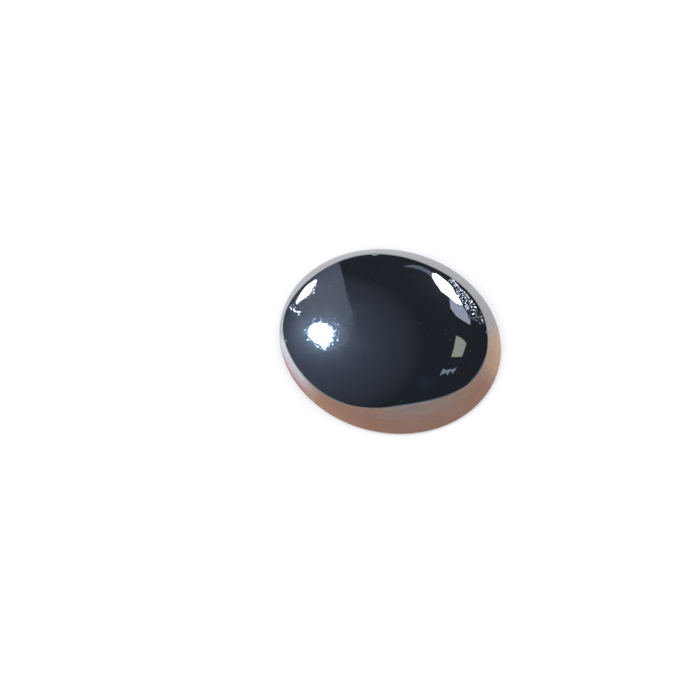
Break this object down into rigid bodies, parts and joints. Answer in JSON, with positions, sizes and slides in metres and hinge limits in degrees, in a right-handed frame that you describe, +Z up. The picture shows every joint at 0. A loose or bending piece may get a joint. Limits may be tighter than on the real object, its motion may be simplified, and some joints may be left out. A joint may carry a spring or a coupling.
{
  "type": "polished hematite cabochon",
  "caption": "Oval cabochon of polished black hematite with a mirror-bright domed top, a satin ground wall leaning inwards and a flat back to rest on.",
  "frame": {"origin": "centre of the flat back, on the surface that the stone lies on", "axes": "+Z up through the dome, +X along the long axis of the oval"},
  "size_m": [0.016, 0.0132, 0.0046],
  "materials": {
    "hematite": "mirror polish on the dome, fine-ground satin on the wall and the back, with a metallic lustre"
  },
  "bodies": {
    "root": {"cabochon": "hematite"}
  },
  "joints": []
}
